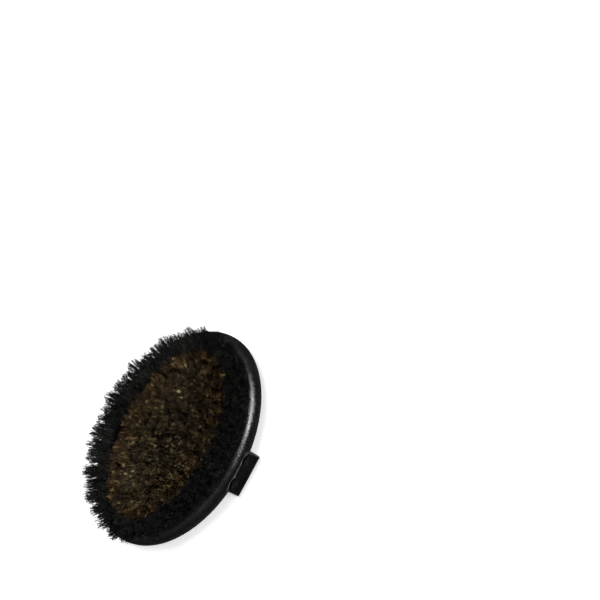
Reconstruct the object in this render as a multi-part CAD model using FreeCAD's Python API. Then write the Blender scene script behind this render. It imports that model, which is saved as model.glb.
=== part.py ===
"""Palm brush: an oval wooden block, six rings of stapled bristle tufts and a tacked leather hand strap.

The frame is +Z up with the bristles up, X across the block and Y along it. The brush lies on its
strap, and the origin is on the surface that it lies on, under the middle of the block. All sizes
are in millimetres. Left is -X, right is +X, front is -Y and rear is +Y.
"""

import FreeCAD, Part
import math
import os
from collections import namedtuple

from FreeCAD import Placement, Rotation, Vector

# Block
BLOCK_LENGTH = 130.0
BLOCK_WIDTH = 80.6
BLOCK_THICKNESS = 21.0
BACK_RADIUS_ACROSS = 160.0
BACK_RADIUS_ALONG = 420.0
BACK_EDGE_RADIUS = 9.0
FACE_EDGE_RADIUS = 5.5

# Hand strap: each end lies on the side wall, the belly lies flat under the back
STRAP_WIDTH = 25.4
STRAP_THICKNESS = 1.6
STRAP_TO_BACK = 0.3
STRAP_TO_WALL = 0.05
STRAP_END_BELOW_FACE = 1.7
STRAP_END_HEIGHT = 7.2
STRAP_CORNER_RADIUS = 3.0
STRAP_BULGE = 3.9
STRAP_TURN_RADIUS = 6.0

# Tacks, two at each end of the strap
TACK_SPACING = 14.0
TACK_BELOW_FACE = 5.6
TACK_HEAD_DIAMETER = 6.5
TACK_DOME_HEIGHT = 1.4
TACK_SINK = 0.5
TACK_SHANK_DIAMETER = 1.6
TACK_SHANK_LENGTH = 9.0
TACK_POINT_LENGTH = 2.4
TACK_CLEARANCE = 0.05

# Tufts: each hole holds one tuft, folded in half round a flat staple near the hole's bottom
HOLE_DIAMETER = 3.2
HOLE_DEPTH = 11.0
ROOT_DIAMETER = 3.1
ROOT_TO_HOLE_BOTTOM = 0.05
FOLD_THICKNESS = 0.4
STAPLE_WIDTH = 3.0
STAPLE_HEIGHT = 1.8
STAPLE_THICKNESS = 0.35
STAPLE_CLEARANCE = 0.03
BLACK_PILE = 23.0
BRONZE_PILE = 22.0

# Rings of tufts, from the outer one inwards. The holes of a ring lie on an oval on the block's face,
# one RING_STEP inside the ring before it, and its tips on a larger oval.
OUTER_RING_WIDTH = 57.0
OUTER_RING_LENGTH = 107.0
RING_STEP = 5.1
Ring = namedtuple("Ring", "name tufts splay_across splay_along tip_diameter pile")
RINGS = [
    Ring("black_tufts_outer", 42, 8.0, 7.4, 5.2, BLACK_PILE),
    Ring("black_tufts_inner", 38, 6.3, 6.4, 4.8, BLACK_PILE),
    Ring("bronze_tufts_ring_1", 32, 4.8, 5.8, 5.0, BRONZE_PILE),
    Ring("bronze_tufts_ring_2", 28, 3.5, 5.0, 5.0, BRONZE_PILE),
    Ring("bronze_tufts_ring_3", 24, 2.0, 4.1, 4.8, BRONZE_PILE),
    Ring("bronze_tufts_ring_4", 17, 0.4, 3.5, 4.2, BRONZE_PILE),
]

# Heights that follow from the sizes above
BACK_Z = STRAP_THICKNESS + STRAP_TO_BACK
FACE_Z = BACK_Z + BLOCK_THICKNESS
TACK_Z = FACE_Z - TACK_BELOW_FACE
STRAP_END_TOP = FACE_Z - STRAP_END_BELOW_FACE
STRAP_END_BOTTOM = STRAP_END_TOP - STRAP_END_HEIGHT

X_AXIS = Vector(1, 0, 0)
Z_AXIS = Vector(0, 0, 1)
SIDES = {"left": -1, "right": 1}
ENDS = {"front": -1, "rear": 1}
OVERSHOOT = 2.0  # how far a cutting tool runs past the surface that it cuts
OUTLINE_STEPS = 3600


def oval_prism(grow, low, high):
    """An upright elliptical cylinder, the block's outline grown by a distance."""
    oval = Part.Ellipse(Vector(0, 0, low), BLOCK_LENGTH / 2 + grow, BLOCK_WIDTH / 2 + grow).toShape()
    oval.rotate(Vector(), Z_AXIS, 90)
    return Part.Face(Part.Wire([oval])).extrude(Vector(0, 0, high - low))


def wall_x(y):
    """Half the block's width at a distance y from its middle."""
    return BLOCK_WIDTH / 2 * math.sqrt(1 - (2 * y / BLOCK_LENGTH) ** 2)


# The block


def block_blank():
    """The block before drilling: an oval plate with a domed back and rounded edges."""
    dome_centre = Vector(0, 0, BACK_Z + BACK_RADIUS_ALONG)
    ring_radius = BACK_RADIUS_ALONG - BACK_RADIUS_ACROSS
    dome = Part.makeTorus(ring_radius, BACK_RADIUS_ACROSS, dome_centre, X_AXIS)
    blank = oval_prism(0, BACK_Z, FACE_Z).common(dome)
    middle_z = (BACK_Z + FACE_Z) / 2
    face_edge = [edge for edge in blank.Edges if edge.BoundBox.ZMin > FACE_Z - OVERSHOOT]
    blank = blank.makeFillet(FACE_EDGE_RADIUS, face_edge)
    back_edge = [edge for edge in blank.Edges if edge.BoundBox.ZMax < middle_z]
    return blank.makeFillet(BACK_EDGE_RADIUS, back_edge)


def block(tufts_by_ring):
    """The drilled block: a blind hole for each tuft and a pilot hole for each tack."""
    holes = [in_place(tuft_hole(), tuft) for tufts in tufts_by_ring.values() for tuft in tufts]
    pilots = [tack_pilot(side, end) for side in SIDES.values() for end in ENDS.values()]
    return block_blank().cut(holes + pilots)


# Tufts and their staples, each made standing at the mouth of its hole and then leaned outwards


def spread_on_oval(half_width, half_length, count):
    """Points spread evenly along an oval, starting half a step from its right-hand end."""
    outline = []
    for step in range(OUTLINE_STEPS + 1):
        turn = 2 * math.pi * step / OUTLINE_STEPS
        outline.append(Vector(half_width * math.cos(turn), half_length * math.sin(turn), 0))
    travelled = [0.0]
    for start, end in zip(outline, outline[1:]):
        travelled.append(travelled[-1] + (end - start).Length)
    points = []
    step = 0
    for k in range(count):
        while travelled[step] < travelled[-1] * (k + 0.5) / count:
            step += 1
        points.append(outline[step])
    return points


def tuft_axes(ring, inset):
    """The (mouth, tip) points of each tuft in a ring that lies a distance inside the outer one."""
    half_width = OUTER_RING_WIDTH / 2 - inset
    half_length = OUTER_RING_LENGTH / 2 - inset
    axes = []
    for point in spread_on_oval(half_width, half_length, ring.tufts):
        mouth = Vector(point.x, point.y, FACE_Z)
        across = ring.splay_across * point.x / half_width
        along = ring.splay_along * point.y / half_length
        axes.append((mouth, mouth + Vector(across, along, ring.pile)))
    return axes


def in_place(shape, tuft):
    """A shape made upright at the origin, moved to a tuft's mouth and leaned along its axis."""
    mouth, tip = tuft
    shape.Placement = Placement(mouth, Rotation(Z_AXIS, tip - mouth))
    return shape


def tuft_hole():
    depth = HOLE_DEPTH + ROOT_TO_HOLE_BOTTOM
    return Part.makeCylinder(HOLE_DIAMETER / 2, depth + OVERSHOOT, Vector(0, 0, -depth))


def tuft_bundle(length, tip_diameter):
    """One tuft: a straight root folded under its staple, and a bundle that spreads to its tip."""
    root = Part.makeCylinder(ROOT_DIAMETER / 2, HOLE_DEPTH, Vector(0, 0, -HOLE_DEPTH))
    bundle = Part.makeCone(ROOT_DIAMETER / 2, tip_diameter / 2, length)
    slot_thickness = STAPLE_THICKNESS + 2 * STAPLE_CLEARANCE
    slot_height = STAPLE_HEIGHT + 2 * STAPLE_CLEARANCE
    corner = Vector(-slot_thickness / 2, -HOLE_DIAMETER, FOLD_THICKNESS - HOLE_DEPTH)
    slot = Part.makeBox(slot_thickness, 2 * HOLE_DIAMETER, slot_height, corner)
    return root.fuse(bundle).removeSplitter().cut(slot)


def staple():
    """The flat wire staple that holds a tuft down in its hole."""
    low = FOLD_THICKNESS + STAPLE_CLEARANCE - HOLE_DEPTH
    corner = Vector(-STAPLE_THICKNESS / 2, -STAPLE_WIDTH / 2, low)
    return Part.makeBox(STAPLE_THICKNESS, STAPLE_WIDTH, STAPLE_HEIGHT, corner)


# The strap, made on the right-hand side and mirrored to the left


def to_side(shape, side):
    """A right-hand shape, or its mirror image for the left-hand side."""
    return shape if side > 0 else shape.mirror(Vector(), X_AXIS)


def block_skin(grow):
    """The block's wall and rounded face edge, grown by a distance, for the strap's end to lie on."""
    skin = oval_prism(grow, BACK_Z, FACE_Z + grow)
    face_edge = [edge for edge in skin.Edges if edge.BoundBox.ZMin > FACE_Z]
    return skin.makeFillet(FACE_EDGE_RADIUS + grow, face_edge)


def strap_end():
    """The strap's end on the wall, with its two corners rounded and its tack holes punched."""
    wall_half = BLOCK_WIDTH / 2
    plate = Part.makeBox(
        wall_half, STRAP_WIDTH, STRAP_END_HEIGHT, Vector(wall_half / 2, -STRAP_WIDTH / 2, STRAP_END_BOTTOM)
    )
    corners = []
    for edge in plate.Edges:
        box = edge.BoundBox
        if box.XLength > OVERSHOOT and box.ZMin > STRAP_END_BOTTOM + OVERSHOOT:
            corners.append(edge)
    plate = plate.makeFillet(STRAP_CORNER_RADIUS, corners)
    leather = block_skin(STRAP_TO_WALL + STRAP_THICKNESS).cut(block_skin(STRAP_TO_WALL))
    holes = [tack_seat(end) for end in ENDS.values()]
    return leather.common(plate).cut(holes)


def strap_side():
    """The strap's bend: it leaves the wall, bulges outwards and turns under in two tangent arcs."""
    half = STRAP_THICKNESS / 2
    wall_line = BLOCK_WIDTH / 2 + STRAP_TO_WALL + half
    turn_x = BLOCK_WIDTH / 2 + STRAP_BULGE - half - STRAP_TURN_RADIUS
    turn_z = STRAP_TURN_RADIUS + half
    across = wall_line - turn_x
    down = STRAP_END_BOTTOM - turn_z
    leave_radius = (across**2 + down**2 - STRAP_TURN_RADIUS**2) / (2 * (STRAP_TURN_RADIUS - across))
    angle = math.asin(down / (STRAP_TURN_RADIUS + leave_radius))

    def leaving(distance, turn):
        radius = leave_radius - distance
        centre_x = wall_line + leave_radius
        return Vector(centre_x - radius * math.cos(turn), 0, STRAP_END_BOTTOM - radius * math.sin(turn))

    def turning(distance, turn):
        radius = STRAP_TURN_RADIUS + distance
        return Vector(turn_x + radius * math.cos(turn), 0, turn_z + radius * math.sin(turn))

    def face_line(distance):
        middle_turn = (angle - math.pi / 2) / 2
        first = Part.Arc(leaving(distance, 0), leaving(distance, angle / 2), leaving(distance, angle))
        last = Part.Arc(
            leaving(distance, angle), turning(distance, middle_turn), turning(distance, -math.pi / 2)
        )
        return [first.toShape(), last.toShape()]

    outside = face_line(half)
    inside = face_line(-half)
    top = Part.LineSegment(leaving(-half, 0), leaving(half, 0)).toShape()
    bottom = Part.LineSegment(turning(half, -math.pi / 2), turning(-half, -math.pi / 2)).toShape()
    outline = Part.Wire(Part.sortEdges(outside + [bottom] + inside + [top])[0])
    outline.translate(Vector(0, -STRAP_WIDTH / 2, 0))
    return Part.Face(outline).extrude(Vector(0, STRAP_WIDTH, 0))


def strap_span():
    """The strap's flat belly between its two bends."""
    half_span = BLOCK_WIDTH / 2 + STRAP_BULGE - STRAP_THICKNESS / 2 - STRAP_TURN_RADIUS
    corner = Vector(-half_span, -STRAP_WIDTH / 2, 0)
    return Part.makeBox(2 * half_span, STRAP_WIDTH, STRAP_THICKNESS, corner)


# Tacks


def tack_head_x():
    """Where the underside of a tack's head sits, a little below the leather's outer face."""
    return wall_x(TACK_SPACING / 2) + STRAP_TO_WALL + STRAP_THICKNESS - TACK_SINK


def tack_seat(end):
    """The punched hole and the dimple that a tack makes in the strap's right-hand end."""
    place = Vector(0, end * TACK_SPACING / 2, TACK_Z)
    reach = BLOCK_WIDTH / 2 + STRAP_BULGE
    punched = Part.makeCylinder(TACK_SHANK_DIAMETER / 2 + TACK_CLEARANCE, reach, place, X_AXIS)
    dimple_place = place + X_AXIS * (tack_head_x() - TACK_CLEARANCE)
    dimple_radius = TACK_HEAD_DIAMETER / 2 + TACK_CLEARANCE
    dimple = Part.makeCylinder(dimple_radius, STRAP_THICKNESS, dimple_place, X_AXIS)
    return punched.fuse(dimple)


def tack_pilot(side, end):
    """The hole that a tack's shank makes in the block."""
    tip_x = tack_head_x() - TACK_SHANK_LENGTH - TACK_CLEARANCE
    place = Vector(tip_x, end * TACK_SPACING / 2, TACK_Z)
    radius = TACK_SHANK_DIAMETER / 2 + TACK_CLEARANCE
    return to_side(Part.makeCylinder(radius, TACK_SHANK_LENGTH, place, X_AXIS), side)


def tack(side, end):
    """A tack: a domed head on a pointed shank."""
    head = TACK_HEAD_DIAMETER / 2
    shank = TACK_SHANK_DIAMETER / 2
    dome_radius = (head**2 + TACK_DOME_HEIGHT**2) / (2 * TACK_DOME_HEIGHT)
    half_angle = math.asin(head / dome_radius) / 2
    dome_middle = Vector(
        dome_radius * math.sin(half_angle), 0, TACK_DOME_HEIGHT - dome_radius * (1 - math.cos(half_angle))
    )
    crown = Vector(0, 0, TACK_DOME_HEIGHT)
    rim = Vector(head, 0, 0)
    neck = Vector(shank, 0, 0)
    shoulder = Vector(shank, 0, TACK_POINT_LENGTH - TACK_SHANK_LENGTH)
    point = Vector(0, 0, -TACK_SHANK_LENGTH)
    straight = Part.makePolygon([rim, neck, shoulder, point, crown])
    outline = Part.Wire([Part.Arc(crown, dome_middle, rim).toShape()] + straight.Edges)
    shape = Part.Face(outline).revolve(Vector(), Z_AXIS, 360)
    place = Vector(tack_head_x(), end * TACK_SPACING / 2, TACK_Z)
    shape.Placement = Placement(place, Rotation(Z_AXIS, X_AXIS))
    return to_side(shape, side)


# All the nodes


def nodes():
    """Every piece by its node's name."""
    tufts_by_ring = {ring.name: tuft_axes(ring, k * RING_STEP) for k, ring in enumerate(RINGS)}
    pieces = {"block": block(tufts_by_ring)}
    for ring in RINGS:
        bundles = []
        staples = []
        for mouth, tip in tufts_by_ring[ring.name]:
            bundle = tuft_bundle((tip - mouth).Length, ring.tip_diameter)
            bundles.append(in_place(bundle, (mouth, tip)))
            staples.append(in_place(staple(), (mouth, tip)))
        pieces[ring.name] = Part.makeCompound(bundles)
        pieces[ring.name.replace("tufts", "staples")] = Part.makeCompound(staples)
    for side_name, side in SIDES.items():
        pieces[f"strap_end_{side_name}"] = to_side(strap_end(), side)
        pieces[f"strap_side_{side_name}"] = to_side(strap_side(), side)
        for end_name, end in ENDS.items():
            pieces[f"tack_{side_name}_{end_name}"] = tack(side, end)
    pieces["strap_span"] = strap_span()
    return pieces


os.makedirs("parts", exist_ok=True)
for node, shape in nodes().items():
    shape.exportStep(f"parts/{node}.step")
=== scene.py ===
"""Looks of the oval palm brush: bristles, black wood, leather strap, tacks, light and camera.

Everything is in metres, in the CAD model's frame: +Z up with the bristles up, X across the block and
Y along it. The block, tacks and staples are the CAD nodes themselves, and the bristles and the strap
take their places from the nodes that they replace.
"""

import math

import bpy
import numpy as np
from mathutils import Matrix, Vector


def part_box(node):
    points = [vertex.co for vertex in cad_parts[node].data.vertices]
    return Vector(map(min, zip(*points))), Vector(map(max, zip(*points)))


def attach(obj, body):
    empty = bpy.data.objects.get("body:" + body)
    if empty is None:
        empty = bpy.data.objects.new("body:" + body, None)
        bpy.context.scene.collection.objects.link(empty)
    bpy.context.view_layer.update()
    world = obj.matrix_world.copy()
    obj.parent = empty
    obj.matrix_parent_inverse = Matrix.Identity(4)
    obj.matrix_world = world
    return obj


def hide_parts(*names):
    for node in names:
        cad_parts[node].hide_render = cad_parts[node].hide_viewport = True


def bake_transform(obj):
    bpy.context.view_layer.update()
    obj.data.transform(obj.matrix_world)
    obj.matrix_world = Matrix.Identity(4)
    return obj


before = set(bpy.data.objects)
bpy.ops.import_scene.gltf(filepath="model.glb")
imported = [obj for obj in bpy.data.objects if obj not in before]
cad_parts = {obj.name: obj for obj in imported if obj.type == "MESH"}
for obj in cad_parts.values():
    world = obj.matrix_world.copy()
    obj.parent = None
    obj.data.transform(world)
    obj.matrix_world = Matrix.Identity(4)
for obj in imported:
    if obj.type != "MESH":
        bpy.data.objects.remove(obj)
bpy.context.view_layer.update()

MM = 0.001
SEED = 20

# Sizes of the CAD nodes
BLOCK_LOW, BLOCK_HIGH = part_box("block")
WALL_X, WALL_Y, FACE_Z = BLOCK_HIGH
END_LOW, END_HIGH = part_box("strap_end_right")
SIDE_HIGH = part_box("strap_side_right")[1]
BELLY_END_X, STRAP_HALF_WIDTH, STRAP_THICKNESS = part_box("strap_span")[1]


# Node helpers


# Where a colour mix keeps its sockets
MIX_FACTOR, MIX_FIRST, MIX_SECOND, MIX_RESULT = 0, 6, 7, 2


class Nodes:
    """A short way to build one material's node tree."""

    def __init__(self, name):
        self.material = bpy.data.materials.new(name)
        self.material.use_nodes = True
        self.tree = self.material.node_tree
        self.shader = self.tree.nodes["Principled BSDF"]

    def add(self, kind, links=None, **settings):
        """A new node. links are its inputs, each a socket to link or a value, and settings are its
        properties."""
        node = self.tree.nodes.new(kind)
        for key, value in settings.items():
            setattr(node, key, value)
        for socket, source in (links or {}).items():
            if isinstance(source, bpy.types.NodeSocket):
                self.tree.links.new(source, node.inputs[socket])
            else:
                node.inputs[socket].default_value = source
        return node

    def surface(self, **values):
        """Sets the shader's inputs: a socket is linked, and a value is set on the input itself."""
        for key, value in values.items():
            socket = self.shader.inputs[key.replace("_", " ")]
            if isinstance(value, bpy.types.NodeSocket):
                self.tree.links.new(value, socket)
            else:
                socket.default_value = value

    def place(self, scale=(1, 1, 1)):
        """Object coordinates, each multiplied by its scale: under 1 stretches the pattern."""
        coordinates = self.add("ShaderNodeTexCoord").outputs["Object"]
        mapping = self.add("ShaderNodeMapping", {"Vector": coordinates, "Scale": scale})
        return mapping.outputs["Vector"]

    def noise(self, vector, scale, detail=3.0, roughness=0.5, distortion=0.0):
        links = {
            "Vector": vector, "Scale": scale, "Detail": detail, "Roughness": roughness,
            "Distortion": distortion,
        }
        return self.add("ShaderNodeTexNoise", links).outputs["Fac"]

    def ramp(self, value, stops):
        """A colour ramp over value. Each stop is (position, grey or colour)."""
        node = self.add("ShaderNodeValToRGB", {"Fac": value})
        elements = node.color_ramp.elements
        while len(elements) < len(stops):
            elements.new(0.5)
        for element, (position, colour) in zip(elements, stops):
            element.position = position
            grey = isinstance(colour, (int, float))
            element.color = (colour, colour, colour, 1) if grey else (*colour, 1)
        return node.outputs["Color"]

    def mix(self, factor, first, second, blend_type="MIX"):
        node = self.add("ShaderNodeMix", data_type="RGBA", blend_type=blend_type)
        for index, value in ((MIX_FACTOR, factor), (MIX_FIRST, first), (MIX_SECOND, second)):
            if isinstance(value, bpy.types.NodeSocket):
                self.tree.links.new(value, node.inputs[index])
            else:
                node.inputs[index].default_value = value
        return node.outputs[MIX_RESULT]

    def bump(self, height, distance, strength=1.0, normal=None):
        links = {"Height": height, "Distance": distance, "Strength": strength}
        if normal:
            links["Normal"] = normal
        return self.add("ShaderNodeBump", links).outputs["Normal"]


# Materials


def wood_material():
    """Hardwood stained black under a thin satin lacquer: long fine pores, faint bands of grain, and
    duller patches."""
    n = Nodes("black_stained_wood")
    along = n.place((1.0, 0.06, 1.0))
    pores = n.noise(along, 2200.0, 4.0, 0.65)
    bands = n.noise(along, 180.0, 3.0, 0.55, 0.6)
    dust = n.noise(n.place(), 1100.0, 5.0, 0.75)
    handled = n.noise(n.place(), 60.0, 2.0)
    grain = n.ramp(bands, [(0.35, (0.0035, 0.0035, 0.004)), (0.68, (0.009, 0.0085, 0.0085))])
    worn = n.ramp(pores, [(0.42, (0.0015, 0.0015, 0.0018)), (0.62, (0.016, 0.015, 0.0145))])
    satin = n.ramp(dust, [(0.32, 0.12), (0.58, 0.22), (0.72, 0.48)])
    dull = n.ramp(dust, [(0.32, 0.2), (0.72, 0.5)])
    pitted = n.bump(pores, 0.1 * MM, 0.9)
    n.surface(
        Base_Color=n.mix(0.45, grain, worn),
        Roughness=n.mix(n.ramp(handled, [(0.4, 0.0), (0.62, 1.0)]), satin, dull),
        Normal=n.bump(dust, 0.11 * MM, 0.7, pitted),
        Specular_IOR_Level=0.75,
    )
    return n.material


def leather_material():
    """Smooth black leather: a fine pebble and a few creases. Its edges are a little paler, partly
    rubbed and partly a painted highlight.
    """
    n = Nodes("black_strap_leather")
    here = n.place()
    pebble = n.add("ShaderNodeTexVoronoi", {"Vector": here, "Scale": 1500.0}, feature="SMOOTH_F1")
    creases = n.noise(n.place((1.0, 0.25, 1.0)), 420.0, 4.0, 0.6, 1.2)
    blotches = n.noise(here, 120.0, 2.0)
    colour = n.ramp(blotches, [(0.3, (0.0012, 0.0012, 0.0014)), (0.75, (0.0048, 0.0045, 0.0045))])
    rough = n.ramp(creases, [(0.3, 0.24), (0.7, 0.42)])
    pebbled = n.bump(pebble.outputs["Distance"], 0.12 * MM, 0.35)
    n.surface(
        Base_Color=colour,
        Roughness=rough,
        Normal=n.bump(creases, 0.2 * MM, 0.3, pebbled),
        Specular_IOR_Level=0.5,
    )
    return n.material


def edge_and_highlight_material():
    """The strap's cut edge: dyed leather fibres, rubbed grey and burnished, and paler still as a
    painted highlight along the edge's rounding.
    """
    n = Nodes("burnished_strap_edge_and_painted_highlight")
    fibres = n.noise(n.place(), 1500.0, 4.0, 0.7)
    n.surface(
        # paler than the leather: rubbed fibres, and a painted highlight on the edge's rounding
        Base_Color=n.ramp(fibres, [(0.3, (0.02, 0.0195, 0.019)), (0.72, (0.10, 0.098, 0.095))]),
        Roughness=n.ramp(fibres, [(0.3, 0.28), (0.7, 0.42)]),
        Normal=n.bump(fibres, 0.08 * MM, 0.4),
    )
    return n.material


def tack_material():
    """Black japanned steel, dented by the hammer."""
    n = Nodes("black_tack_lacquer")
    here = n.place()
    dents = n.noise(here, 420.0, 2.0)
    rub = n.noise(here, 500.0, 4.0, 0.65)
    colour = n.ramp(rub, [(0.45, (0.003, 0.003, 0.0035)), (0.8, (0.04, 0.039, 0.038))])
    n.surface(
        Base_Color=colour,
        Roughness=n.ramp(rub, [(0.3, 0.12), (0.7, 0.26)]),
        Normal=n.bump(dents, 1.1 * MM, 0.6),
        Specular_IOR_Level=1.0,
    )
    return n.material


def staple_material():
    """Drawn flat steel wire."""
    n = Nodes("staple_wire_steel")
    drawn = n.noise(n.place((1.0, 0.05, 1.0)), 4000.0, 3.0)
    n.surface(
        Base_Color=n.ramp(drawn, [(0.35, (0.34, 0.34, 0.35)), (0.7, (0.56, 0.56, 0.57))]),
        Roughness=n.ramp(drawn, [(0.3, 0.28), (0.7, 0.45)]),
        Metallic=1.0,
    )
    return n.material


STRAND_MAP = "OFBake"  # the strands' map: U is a strand's own shade, V runs from its root to its tip


def strand_material(name, shades, painted_root_shade, roughness, **values):
    """A bristle: its colour and roughness follow its own shade, and a painted shade darkens it from its
    tip down to its root.
    """
    n = Nodes(name)
    uv = n.add("ShaderNodeUVMap", uv_map=STRAND_MAP).outputs["UV"]
    split = n.add("ShaderNodeSeparateXYZ", {"Vector": uv})
    shade = n.ramp(split.outputs["X"], shades)
    # painted shade: the strand is darker towards its root, where the strands shade each other
    painted_shade = n.ramp(split.outputs["Y"], painted_root_shade)
    n.surface(
        Base_Color=n.mix(1.0, shade, painted_shade, "MULTIPLY"),
        Roughness=n.ramp(split.outputs["X"], roughness),
        **values,
    )
    return n.material


def black_bristle_material():
    """Black bristle, from black to dark grey."""
    shades = [
        (0.0, (0.004, 0.0042, 0.004)),
        (0.4, (0.014, 0.0145, 0.014)),
        (0.65, (0.036, 0.036, 0.033)),
        (0.85, (0.09, 0.088, 0.081)),
        (1.0, (0.17, 0.16, 0.145)),
    ]
    # painted shade along the strand, darkest at the root
    painted_root_shade = [(0.0, 0.2), (0.8, 0.32), (1.0, 1.0)]
    roughness = [(0.0, 0.55), (1.0, 0.35)]
    return strand_material("black_bristle", shades, painted_root_shade, roughness, Specular_IOR_Level=0.02)


def bronze_bristle_material(name, warmth):
    """Bronze wire, from olive brown to orange as warmth goes from 0 to 1."""
    olive = [(0.009, 0.005, 0.003), (0.048, 0.032, 0.014), (0.21, 0.165, 0.070), (0.85, 0.75, 0.45)]
    orange = [(0.011, 0.004, 0.0015), (0.050, 0.025, 0.007), (0.23, 0.13, 0.034), (0.88, 0.64, 0.28)]
    positions = (0.0, 0.38, 0.68, 0.95)
    shades = []
    for position, cool, warm in zip(positions, olive, orange):
        shades.append((position, tuple(c + (w - c) * warmth for c, w in zip(cool, warm))))
    # painted shade along the strand, darkest at the root
    painted_root_shade = [(0.0, (0.3, 0.25, 0.2)), (0.7, 0.6), (1.0, 1.0)]
    roughness = [(0.0, 0.42), (1.0, 0.3)]
    return strand_material(name, shades, painted_root_shade, roughness, Metallic=0.35)


# Bristles


WELD = 0.01 * MM  # points that round to the same multiple of this are one point
TUFT_END = 0.2 * MM  # how deep the points at a tuft's two ends lie


def tufts_of(node):
    """The (mouth, tip) points of each tuft solid in a CAD node, in order round the brush. The solids
    share one mesh, so they are told apart as the groups of points that its edges join."""
    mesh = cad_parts[node].data
    places = np.empty(len(mesh.vertices) * 3)
    mesh.vertices.foreach_get("co", places)
    places = places.reshape(-1, 3)
    keys, same = np.unique(np.round(places / WELD).astype(int), axis=0, return_inverse=True)
    same = same.ravel()
    group = np.arange(len(keys))
    edges = np.empty(len(mesh.edges) * 2, dtype=int)
    mesh.edges.foreach_get("vertices", edges)
    edges = same[edges].reshape(-1, 2)
    changed = True
    while changed:
        lowest = np.minimum(group[edges[:, 0]], group[edges[:, 1]])
        before = group.copy()
        np.minimum.at(group, edges[:, 0], lowest)
        np.minimum.at(group, edges[:, 1], lowest)
        group = group[group]
        changed = bool((group != before).any())
    tufts = []
    for number in np.unique(group):
        points = keys[group == number] * WELD
        centre = points.mean(0)
        axis = np.linalg.svd(points - centre, full_matrices=False)[2][0]
        axis *= np.sign(axis[2])
        for _ in range(2):
            reach = points @ axis
            tip = points[reach > reach.max() - TUFT_END].mean(0)
            foot = points[reach < reach.min() + TUFT_END].mean(0)
            axis = (tip - foot) / np.linalg.norm(tip - foot)
        mouth = tip - axis * (tip[2] - FACE_Z) / axis[2]
        tufts.append((mouth, tip))
    tufts.sort(key=lambda tuft: math.atan2(tuft[0][1], tuft[0][0]))
    return tufts


EMBED = 2.0 * MM  # how far a strand's root goes below the face
ROOT_RADIUS = 1.45 * MM
CLUMP_REACH = 0.62  # how far out a tuft's clumps stand, as a share of its spread
TRIM = 1.03  # the height that the bristles are trimmed to, as a share of the pile
TRIM_DEPTH = 0.3 * MM  # how unevenly they are trimmed
SPREAD_RANGE = (0.88, 1.12)  # from tuft to tuft
CLUMP_UNEVEN = 0.12  # how unevenly the clumps stand round the tuft, as a share of their distance
GATHER_RANGE = (0.6, 1.0)  # from strand to strand
RADIUS_RANGE = (0.75, 1.25)  # from strand to strand
CRIMP_FADE = 1.2  # the crimp fades towards the root, and a little towards the tip as well
SHADE_LOWEST, SHADE_HIGHEST = 0.01, 0.97

# How a tuft's strands stand. Sizes are in metres, and the rest are shares or counts. What is random
# is a standard deviation, or a range where there are two numbers.
BLACK_STYLE = {
    "levels": (0.0, 0.45, 0.85, 1.0),  # where along its length a strand has its points
    "strands": 235,
    "radius": 0.13 * MM,  # of a strand at its root
    "taper": 0.25,  # how much thinner it is at its tip
    "spread": 4.3 * MM,  # the tuft's radius at its tips
    "clumps": 5,
    "clump_pull": 0.1,  # how far the tips are drawn to their clump
    "locks": 45,  # pointed groups of a few strands
    "lock_reach": 1.0,  # the locks' own spread, as a share of the tuft's
    "gather": 0.4,  # how far the tips are drawn to their lock
    "stray": 0.4 * MM,  # of each tip, at random
    "wild_share": 0.1,  # of the strands, which stand further out
    "wild_reach": (1.05, 1.25),
    "tuft_lean": 0.6 * MM,  # of a whole tuft's tips, at random
    "ragged": 0.022,  # how unequal the strands' lengths are
    "crown": 0.2,  # how much lower the tuft is at its rim
    "crimp": 0.45 * MM,  # how wavy the strands are
    "tip_curl": 0.6 * MM,
    "flare": (1.1, 2.6),  # 1 is a straight strand, and more bends it outwards nearer its tip
    "shade_beta": (0.8, 1.8),  # the two shape numbers of the strands' shades
    "lock_shade": 0.3,  # how much of a strand's shade is its lock's
    "tuft_shade": 0.05,  # how unequal the tufts' shades are
}
OUTER_STYLE = {**BLACK_STYLE, "spread": 4.4 * MM, "flare": (0.8, 1.5)}
BRONZE_STYLE = {
    **BLACK_STYLE,
    "levels": (0.0, 0.36, 0.62, 0.83, 1.0),
    "radius": 0.11 * MM,
    "taper": 0.2,
    "spread": 3.7 * MM,
    "clumps": 6,
    "clump_pull": 0,
    "locks": 60,
    "lock_reach": 1.2,
    "gather": 0.85,
    "stray": 0.16 * MM,
    "wild_share": 0.14,
    "wild_reach": (1.15, 1.5),
    "ragged": 0.02,
    "tip_curl": 0.4 * MM,
    "flare": (1.1, 3.6),
    "shade_beta": (0.65, 1.7),
    "lock_shade": 0.75,
}


def pulled(points, centres, pull):
    """The points drawn part of the way to the nearest of the centres, and which centre that is."""
    nearest = np.argmin(((points[:, None] - centres[None]) ** 2).sum(2), axis=1)
    return points + (centres[nearest] - points) * pull, nearest


def on_disc(count, rng):
    """Random points spread evenly over a disc of radius 1."""
    turn = rng.uniform(0, 2 * math.pi, count)
    share = np.sqrt(rng.uniform(0, 1, count))
    return np.stack([np.cos(turn), np.sin(turn)], 1) * share[:, None]


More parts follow.
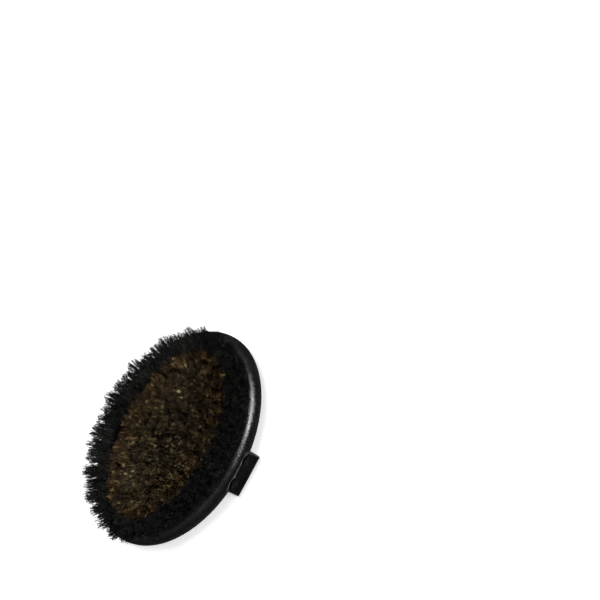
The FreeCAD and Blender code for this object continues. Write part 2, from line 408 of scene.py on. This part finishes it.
def tip_places(disc, style, rng):
    """Where one tuft's strands end across the tuft, and each one's lock. disc has the strands' places
    in the tuft, in a circle of radius 1."""
    count, clumps = len(disc), style["clumps"]
    spread = style["spread"] * rng.uniform(*SPREAD_RANGE)
    clump_steps = np.arange(clumps) + rng.uniform(0, 1) + rng.normal(0, CLUMP_UNEVEN, clumps)
    clump_turn = 2 * math.pi * clump_steps / clumps
    clump_end = np.stack([np.cos(clump_turn), np.sin(clump_turn)], 1) * spread * CLUMP_REACH
    lock_end = on_disc(style["locks"], rng) * spread * style["lock_reach"]
    lock_end, _ = pulled(lock_end, clump_end, style["clump_pull"])
    end, _ = pulled(disc * spread, clump_end, style["clump_pull"])
    end, lock = pulled(end, lock_end, style["gather"] * rng.uniform(*GATHER_RANGE, (count, 1)))
    end += rng.normal(0, style["stray"], (count, 2))
    wild = rng.uniform(0, 1, count) < style["wild_share"]
    end[wild] *= rng.uniform(*style["wild_reach"], (wild.sum(), 1))
    end += rng.normal(0, style["tuft_lean"], 2)
    return end, lock


def strands(tuft, style, rng):
    """One tuft's strands, gathered in pointed locks: their paths (strand, level, xyz), their radii
    (strand, level) and their shades (strand)."""
    mouth, tip = tuft
    count, locks, levels = style["strands"], style["locks"], np.array(style["levels"])
    length = np.linalg.norm(tip - mouth)
    axis = (tip - mouth) / length
    side = np.cross(axis, (0.0, 1.0, 0.0))
    side /= np.linalg.norm(side)
    other = np.cross(axis, side)

    disc = on_disc(count, rng)
    root = disc * ROOT_RADIUS
    end, lock = tip_places(disc, style, rng)

    ragged = style["ragged"]
    tall = 1 + rng.normal(0, ragged) + rng.normal(0, ragged, locks)[lock]
    tall += rng.normal(0, ragged, count)
    reach = length * tall - np.linalg.norm(end, axis=1) ** 2 / length * style["crown"]
    trimmed = (TRIM * (tip[2] - mouth[2]) - end @ (side[2], other[2])) / axis[2]
    reach = np.minimum(reach, trimmed - np.abs(rng.normal(0, TRIM_DEPTH, count)))

    t = levels[None, :, None]
    flare = rng.uniform(*style["flare"], (count, 1, 1))
    out = root[:, None] + (end - root)[:, None] * t**flare
    out += rng.normal(0, style["crimp"], (count, len(levels), 2)) * t * (CRIMP_FADE - t)
    out[:, -1] += rng.normal(0, style["tip_curl"], (count, 2))
    rise = -EMBED + (reach + EMBED)[:, None] * levels[None]
    path = mouth + rise[..., None] * axis + out[..., :1] * side + out[..., 1:] * other
    thick = style["radius"] * rng.uniform(*RADIUS_RANGE, (count, 1))
    radius = thick * (1 - style["taper"] * levels[None] ** 2)

    lock_shade = rng.beta(*style["shade_beta"], locks)[lock]
    own_shade = rng.beta(*style["shade_beta"], count)
    shade = own_shade + (lock_shade - own_shade) * style["lock_shade"]
    shade += rng.normal(0, style["tuft_shade"])
    return path, radius, np.clip(shade, SHADE_LOWEST, SHADE_HIGHEST)


SIDES = 3  # of a strand
SHADE_STEP = 0.006  # how far apart a strand's sides lie in its map, which gives its faces an area
MAP_MARGIN = 0.02  # how far the roots and the tips stay inside the map


def bristle_piece(name, node, style, material, rng):
    """One ring of bristle tufts as a mesh of three-sided strands, in place of the ring's solids."""
    tufts = [strands(tuft, style, rng) for tuft in tufts_of(node)]
    path, radius, shade = (np.concatenate(parts) for parts in zip(*tufts))
    count, levels = path.shape[:2]

    tangent = np.gradient(path, axis=1)
    tangent /= np.linalg.norm(tangent, axis=2, keepdims=True)
    across = np.cross(tangent, (0.0, 1.0, 0.0))
    across /= np.linalg.norm(across, axis=2, keepdims=True)
    beside = np.cross(tangent, across)
    start = rng.uniform(0, 2 * math.pi, count)
    corners = []
    for corner in range(SIDES):
        turn = (start + corner * 2 * math.pi / SIDES)[:, None, None]
        corners.append(path + radius[..., None] * (np.cos(turn) * across + np.sin(turn) * beside))
    verts = np.stack(corners, 2)  # strand, level, corner, xyz
    corner = np.arange(SIDES)
    following = (corner + 1) % SIDES
    strand = np.arange(count)[:, None, None] * levels * SIDES
    here = strand + np.arange(levels - 1)[:, None] * SIDES
    above = here + SIDES
    quads = np.stack([here + corner, here + following, above + following, above + corner], -1)
    tips = strand[:, 0] + (levels - 1) * SIDES + corner
    faces = quads.reshape(-1, 4).tolist() + tips.tolist()
    mesh = bpy.data.meshes.new(name)
    mesh.from_pydata(verts.reshape(-1, 3), [], faces)
    mesh.polygons.foreach_set("use_smooth", np.ones(len(mesh.polygons), bool))

    u = shade[:, None, None] + corner * SHADE_STEP
    v = MAP_MARGIN + (1 - 2 * MAP_MARGIN) * np.array(style["levels"])[None, :, None]
    uv = np.stack(np.broadcast_arrays(u, v), -1).reshape(-1, 2)
    corner_verts = np.empty(len(mesh.loops), dtype=int)
    mesh.loops.foreach_get("vertex_index", corner_verts)
    mesh.uv_layers.new(name=STRAND_MAP).data.foreach_set("uv", uv[corner_verts].ravel())
    mesh.materials.append(material)
    piece = bpy.data.objects.new(name, mesh)
    bpy.context.scene.collection.objects.link(piece)
    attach(piece, "brush")
    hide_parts(node)


def bristles():
    """Two rings of black bristles round four of bronze wire, which is warmer the further out it is."""
    rng = np.random.default_rng(SEED)
    black = black_bristle_material()
    for ring, style in (("outer", OUTER_STYLE), ("inner", BLACK_STYLE)):
        name = f"black_bristles_{ring}"
        bristle_piece(name, f"black_tufts_{ring}", style, black, rng)
    for ring, warmth in ((1, 0.65), (2, 0.4), (3, 0.2), (4, 0.1)):
        bronze = bronze_bristle_material(f"bronze_wire_{ring}", warmth)
        name = f"bronze_bristles_ring_{ring}"
        bristle_piece(name, f"bronze_tufts_ring_{ring}", BRONZE_STYLE, bronze, rng)


# Hand strap


SHOULDER_RADIUS = 5.5 * MM  # of the block's upper edge
SEAM_X = 4 * MM  # where each half of the strap meets the belly's flat middle
ARC_STEP = 0.4 * MM
STRAP_STEP = 0.35 * MM
NO_STEP = 1e-7  # points closer than this are one point
STRAP_COLUMNS = 85
BELLY_ROWS = 17
EDGE_CROWDING = 1.35  # over 1 puts the columns closer together near the strap's edges
CORNER_RADIUS = 3.0 * MM
EDGE_ROUNDING = 0.55 * MM
EDGE_THINNEST = 0.02  # the cut edge's least thickness, as a share of the strap's
RUBBED_AND_HIGHLIT_EDGE = 0.75 * MM  # how far the rubbed edge reaches inside the cut
SKIVED_END = 0.72  # how far the paler edge, rubbed and with a painted highlight, reaches inside the cut
SKIVE_LENGTH = 6.0 * MM
WALL_FOOT = 3.0 * MM  # the height from which the strap starts to follow the wall's curve
DIMPLE_RADIUS = 3.5 * MM
DIMPLE_DEPTH = 0.7 * MM
PUCKER_RADIUS = 4.7 * MM
PUCKER_WIDTH = 0.9 * MM
PUCKER_HEIGHT = 0.7 * MM
PUCKER_FOLDS = 5  # round one tack
PUCKER_UNEVEN = 0.35
PUCKER_TURN, PUCKER_TURN_STEP = 1.3, 2.1  # of the first tack's folds, and from tack to tack


def wall_x(y):
    """Half the block's width at a distance y from its middle."""
    return WALL_X * np.sqrt(1 - (y / WALL_Y) ** 2)


def arc(centre, radius, first, last):
    """Points (x, z) and outward directions along an arc, angles in radians above the X axis."""
    count = max(3, int(abs(last - first) * radius / ARC_STEP))
    turn = np.linspace(first, last, count)
    direction = np.stack([np.cos(turn), np.sin(turn)], 1)
    return np.array(centre) + radius * direction, direction


def strap_line():
    """The strap's middle line in the XZ plane as distances along it, points and outward normals. It
    runs from the right-hand end to the seam in the belly: over the block's shoulder, down the wall, out
    into a bulge and under."""
    half = STRAP_THICKNESS / 2
    wall_line = END_HIGH.x - half
    shoulder = (WALL_X - SHOULDER_RADIUS, FACE_Z - SHOULDER_RADIUS)
    shoulder_line = wall_line - shoulder[0]
    end_turn = math.asin((END_HIGH.z - shoulder[1]) / shoulder_line)
    over, over_out = arc(shoulder, shoulder_line, end_turn, 0)

    turn_radius = SIDE_HIGH.x - half - BELLY_END_X
    turn_z = turn_radius + half
    across = wall_line - BELLY_END_X
    down = END_LOW.z - turn_z
    leave_radius = (across**2 + down**2 - turn_radius**2) / (2 * (turn_radius - across))
    lean = math.asin(down / (turn_radius + leave_radius))
    leave_centre = (wall_line + leave_radius, END_LOW.z)
    leave, leave_out = arc(leave_centre, leave_radius, math.pi, math.pi + lean)
    under, under_out = arc((BELLY_END_X, turn_z), turn_radius, lean, -math.pi / 2)
    seam = np.array([[SEAM_X, half]])
    line = np.concatenate([over, leave, under, seam])
    out = np.concatenate([over_out, -leave_out, under_out, [[0, -1]]])

    along = np.r_[0, np.cumsum(np.linalg.norm(np.diff(line, axis=0), axis=1))]
    kept = np.r_[True, np.diff(along) > NO_STEP]
    along, line, out = along[kept], line[kept], out[kept]
    even = np.linspace(0, along[-1], int(along[-1] / STRAP_STEP) + 1)
    line = np.stack([np.interp(even, along, line[:, k]) for k in (0, 1)], 1)
    out = np.stack([np.interp(even, along, out[:, k]) for k in (0, 1)], 1)
    return even, line, out / np.linalg.norm(out, axis=1, keepdims=True)


def leather_mesh(name, outer, inner, edge, materials, flip):
    """A closed leather strip from two grids of points (station, across, xyz). Where edge (station,
    across) is true, the faces have the second material. flip turns every face over."""
    stations, across = outer.shape[:2]
    loop = np.concatenate([outer, inner[:, ::-1]], 1)
    around = loop.shape[1]
    rubbed_and_highlit = np.concatenate([edge, edge[:, ::-1]], 1)
    faces = []
    kinds = []
    for i in range(stations - 1):
        here, there = i * around, (i + 1) * around
        for j in range(around):
            k = (j + 1) % around
            faces.append((here + j, here + k, there + k, there + j))
            kinds.append(int(rubbed_and_highlit[i, j] and rubbed_and_highlit[i, k] and rubbed_and_highlit[i + 1, j]))
    for i in (0, stations - 1):
        here, there = i * around, (i + 1) * around
        for j in range(across - 1):
            cap = [here + j, here + j + 1, there - j - 2, there - j - 1]
            faces.append(tuple(cap[::-1] if i == 0 else cap))
            kinds.append(int(rubbed_and_highlit[i].all()))
    if flip:
        faces = [face[::-1] for face in faces]
    mesh = bpy.data.meshes.new(name)
    mesh.from_pydata(loop.reshape(-1, 3), [], faces)
    mesh.polygons.foreach_set("use_smooth", np.ones(len(mesh.polygons), bool))
    for material in materials:
        mesh.materials.append(material)
    mesh.polygons.foreach_set("material_index", kinds)
    piece = bpy.data.objects.new(name, mesh)
    bpy.context.scene.collection.objects.link(piece)
    return piece


def edge_profile(inside):
    """The share of the full thickness at a distance inside the cut edge: a rounded edge."""
    reach = np.clip(inside / EDGE_ROUNDING, 0, 1)
    return np.maximum(np.sqrt(np.clip(1 - (1 - reach) ** 2, 0, 1)), EDGE_THINNEST)


def columns():
    """Where the strap's columns lie across it, from -1 at one edge to 1 at the other."""
    share = np.linspace(-1, 1, STRAP_COLUMNS)
    return np.sign(share) * (1 - (1 - np.abs(share)) ** EDGE_CROWDING)


def strap_half(side, materials):
    """The strap from one end to its seam in the belly, dimpled and puckered round its tacks."""
    name = "right" if side > 0 else "left"
    s, line, out = strap_line()
    corner_s = np.clip(CORNER_RADIUS - s, 0, None)
    square = STRAP_HALF_WIDTH - CORNER_RADIUS
    row_half = square + np.sqrt(np.clip(CORNER_RADIUS**2 - corner_s**2, 0, None))
    y = row_half[:, None] * columns()[None]

    corner = np.hypot(corner_s[:, None], np.clip(np.abs(y) - square, 0, None))
    near_corner = (s[:, None] < CORNER_RADIUS) & (np.abs(y) > square)
    inside = np.minimum(s[:, None], STRAP_HALF_WIDTH - np.abs(y))
    inside = np.where(near_corner, CORNER_RADIUS - corner, inside)
    skive = SKIVED_END + (1 - SKIVED_END) * np.clip(s / SKIVE_LENGTH, 0, 1)
    full = STRAP_THICKNESS * skive[:, None]
    thick = full * edge_profile(inside)

    centre = np.repeat(line[:, None], STRAP_COLUMNS, 1)
    normal = np.repeat(out[:, None], STRAP_COLUMNS, 1)
    on_wall = np.clip((centre[..., 1] - WALL_FOOT) / (END_LOW.z - WALL_FOOT), 0, 1)
    on_wall = on_wall**2 * (3 - 2 * on_wall)
    centre[..., 0] -= (WALL_X - wall_x(y)) * on_wall
    centre -= normal * (STRAP_THICKNESS - full)[..., None] / 2

    relief = np.zeros_like(y)
    for number, end in enumerate(("front", "rear")):
        low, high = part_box(f"tack_{name}_{end}")
        tack_y, tack_z = (low.y + high.y) / 2, (low.z + high.z) / 2
        away_y, away_z = y - tack_y, centre[..., 1] - tack_z
        distance = np.hypot(away_y, away_z)
        turn = np.arctan2(away_z, away_y)
        fold_turn = PUCKER_FOLDS * turn + PUCKER_TURN + PUCKER_TURN_STEP * number
        folds = (1 - PUCKER_UNEVEN) + PUCKER_UNEVEN * np.cos(fold_turn)
        relief -= DIMPLE_DEPTH * np.exp(-((distance / DIMPLE_RADIUS) ** 6))
        ring = np.exp(-(((distance - PUCKER_RADIUS) / PUCKER_WIDTH) ** 2))
        relief += PUCKER_HEIGHT * folds * ring * (centre[..., 1] < END_HIGH.z)

    def lifted(offset):
        points = centre + normal * offset[..., None]
        return np.stack([side * points[..., 0], y, points[..., 1]], -1)

    outer = lifted(thick / 2 + relief * (thick / full))
    inner = lifted(-thick / 2)
    edge = inside < RUBBED_AND_HIGHLIT_EDGE
    piece = leather_mesh(f"hand_strap_{name}", outer, inner, edge, materials, flip=side > 0)
    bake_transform(piece)
    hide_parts(f"strap_end_{name}", f"strap_side_{name}")


def strap_belly(materials):
    """The middle of the strap, flat under the block."""
    x, y = np.meshgrid(
        np.linspace(-SEAM_X, SEAM_X, BELLY_ROWS), STRAP_HALF_WIDTH * columns(), indexing="ij"
    )
    inside = STRAP_HALF_WIDTH - np.abs(y)
    half = STRAP_THICKNESS / 2
    thick = half * edge_profile(inside)
    outer = np.stack([x, y, half - thick], -1)
    inner = np.stack([x, y, half + thick], -1)
    edge = inside < RUBBED_AND_HIGHLIT_EDGE
    piece = leather_mesh("hand_strap_belly", outer, inner, edge, materials, flip=False)
    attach(piece, "strap_belly")
    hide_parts("strap_span")


def hand_strap():
    """One leather strip as three meshes: two halves, one from each end, and the belly."""
    materials = (leather_material(), edge_and_highlight_material())
    strap_half(1, materials)
    strap_half(-1, materials)
    strap_belly(materials)


# Carried-over CAD nodes


def finish_nodes():
    """The block, the tacks and the staples keep their CAD shapes and get their own materials."""
    materials = {"block": wood_material(), "tack": tack_material(), "staple": staple_material()}
    for node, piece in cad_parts.items():
        for kind, material in materials.items():
            if kind in node:
                for slot in piece.material_slots:
                    slot.material = material


# Floor, light and camera


FLOOR_GLOW = 0.6
FLOOR_REACH = 5.0
FLOOR_MIDDLE = 1.0  # where the floor's faces change size
STAGE_SIDES = 96
COVE_RADIUS = 1.0  # of the curve from the floor up into the backdrop
COVE_STEPS = 8
BACKDROP_HEIGHT = 3.0


def pale_material():
    """Pale paper lit from behind as well, which keeps the brush's shadow light."""
    n = Nodes("pale_paper")
    grain = n.noise(n.place(), 300.0, 3.0)
    n.surface(
        Base_Color=n.ramp(grain, [(0.3, 0.86), (0.7, 0.9)]),
        Roughness=0.9,
        Emission_Color=(1, 1, 1, 1),
        Emission_Strength=FLOOR_GLOW,
    )
    return n.material


def stage_piece(name, rings, material):
    """A round part of the stage from its rings, each (radius, height). The gloss doesn't mirror it."""
    verts = []
    faces = []
    for radius, height in rings:
        for k in range(STAGE_SIDES):
            turn = 2 * math.pi * k / STAGE_SIDES
            verts.append((radius * math.cos(turn), radius * math.sin(turn), height))
    for ring in range(len(rings) - 1):
        for k in range(STAGE_SIDES):
            first = ring * STAGE_SIDES + k
            following = ring * STAGE_SIDES + (k + 1) % STAGE_SIDES
            faces.append((first, following, following + STAGE_SIDES, first + STAGE_SIDES))
    mesh = bpy.data.meshes.new(name)
    mesh.from_pydata(verts, [], faces)
    mesh.polygons.foreach_set("use_smooth", np.ones(len(mesh.polygons), bool))
    mesh.materials.append(material)
    piece = bpy.data.objects.new(name, mesh)
    piece.visible_glossy = False
    bpy.context.scene.collection.objects.link(piece)
    return piece


def stage():
    """The floor and the backdrop round it, which only closes the view and lights nothing."""
    paper = pale_material()
    stage_piece("floor", [(MM, 0), (FLOOR_MIDDLE, 0), (FLOOR_REACH, 0)], paper)
    sweep = []
    for step in range(COVE_STEPS + 1):
        turn = math.pi / 2 * step / COVE_STEPS
        out = COVE_RADIUS * math.sin(turn) - MM  # the backdrop starts 1 mm inside the floor's rim
        sweep.append((FLOOR_REACH + out, COVE_RADIUS * (1 - math.cos(turn))))
    sweep.append((FLOOR_REACH + COVE_RADIUS, BACKDROP_HEIGHT))
    backdrop = stage_piece("backdrop", sweep, paper)
    backdrop.visible_diffuse = False
    backdrop.visible_shadow = False


def area_light(name, direction, distance, width, height, power):
    """A soft box that faces the brush from a direction."""
    light = bpy.data.lights.new(name, "AREA")
    light.shape = "RECTANGLE"
    light.size = width
    light.size_y = height
    light.energy = power
    lamp = bpy.data.objects.new(name, light)
    direction = Vector(direction).normalized()
    lamp.location = direction * distance
    lamp.rotation_euler = direction.to_track_quat("Z", "Y").to_euler()
    bpy.context.scene.collection.objects.link(lamp)
    return lamp


# The key light stands on the right, towards the rear. It is two lights in one place, one for the gloss
# and one for the diffuse light, so that the highlights can be bright without greying the bristles.
KEY_ELEVATION, KEY_AZIMUTH = math.radians(47), math.radians(26)
KEY_DISTANCE, KEY_WIDTH, KEY_HEIGHT = 1.4, 0.2, 0.6
KEY_GLOSS_POWER, KEY_DIFFUSE_POWER = 14, 4
TOP_DIRECTION = (-0.12, 0.1, 1)
TOP_DISTANCE, TOP_SIZE, TOP_POWER = 1.6, 0.5, 28
HORIZON_FILL, OVERHEAD_FILL = 0.045, 0.19


def lights():
    """The key light, a diffuse one overhead, and a world that is brightest overhead."""
    key = (
        math.cos(KEY_ELEVATION) * math.cos(KEY_AZIMUTH),
        math.cos(KEY_ELEVATION) * math.sin(KEY_AZIMUTH),
        math.sin(KEY_ELEVATION),
    )
    key_box = (key, KEY_DISTANCE, KEY_WIDTH, KEY_HEIGHT)
    area_light("key_gloss", *key_box, KEY_GLOSS_POWER).visible_diffuse = False
    area_light("key", *key_box, KEY_DIFFUSE_POWER).visible_glossy = False
    top = area_light("top", TOP_DIRECTION, TOP_DISTANCE, TOP_SIZE, TOP_SIZE, TOP_POWER)
    top.visible_glossy = False

    world = bpy.data.worlds.new("overhead_fill")
    world.use_nodes = True
    nodes, links = world.node_tree.nodes, world.node_tree.links
    direction = nodes.new("ShaderNodeTexCoord").outputs["Generated"]
    split = nodes.new("ShaderNodeSeparateXYZ")
    links.new(direction, split.inputs["Vector"])
    fall = nodes.new("ShaderNodeMapRange")
    fall.interpolation_type = "SMOOTHSTEP"
    fall.inputs["To Min"].default_value = HORIZON_FILL
    fall.inputs["To Max"].default_value = OVERHEAD_FILL
    links.new(split.outputs["Z"], fall.inputs["Value"])
    links.new(fall.outputs["Result"], nodes["Background"].inputs["Strength"])
    nodes["Background"].inputs["Color"].default_value = (1, 1, 1, 1)
    bpy.context.scene.world = world


CAMERA_DISTANCE = 2.0
FRAME_WIDTH = 0.338  # what the picture spans at the brush
BRUSH_LEFT_OF_MIDDLE = 0.0684
BRUSH_BELOW_MIDDLE = 0.0780
CAMERA_TILT_RIGHT = 15.6  # degrees from straight down, towards the brush's right-hand side
CAMERA_TILT_REAR = 3.1  # degrees, towards its rear end
BRUSH_ROLL = 28.4  # degrees clockwise, from the picture's upward direction to the brush's rear end
TARGET_ABOVE_BLOCK = 3.6 * MM  # from the middle of the block's thickness
CAMERA_REACH = 20.0  # how far the camera sees


def camera():
    """Looks almost straight down on the brush, which lies left of and below the picture's middle."""
    to_right = math.tan(math.radians(CAMERA_TILT_RIGHT))
    to_rear = math.tan(math.radians(CAMERA_TILT_REAR))
    back = Vector((to_right, to_rear, 1)).normalized()
    rear = Vector((0, 1, 0))
    rear = (rear - back * rear.dot(back)).normalized()
    up = Matrix.Rotation(math.radians(BRUSH_ROLL), 3, back) @ rear
    right = up.cross(back)
    turned = Matrix((right, up, back)).transposed()
    brush_seen = Vector((-BRUSH_LEFT_OF_MIDDLE, -BRUSH_BELOW_MIDDLE, -CAMERA_DISTANCE)).normalized()
    aim = brush_seen.rotation_difference(Vector((0, 0, -1))).to_matrix()

    data = bpy.data.cameras.new("camera")
    data.lens = data.sensor_width * CAMERA_DISTANCE / FRAME_WIDTH
    data.clip_end = CAMERA_REACH
    eye = bpy.data.objects.new("camera", data)
    eye.matrix_world = (turned @ aim).to_4x4()
    target = Vector((0, 0, (BLOCK_LOW.z + BLOCK_HIGH.z) / 2 + TARGET_ABOVE_BLOCK))
    eye.location = target + back * CAMERA_DISTANCE
    bpy.context.scene.collection.objects.link(eye)
    bpy.context.scene.camera = eye


bristles()
hand_strap()
finish_nodes()
stage()
lights()
camera()
bpy.context.scene.view_settings.view_transform = "Standard"
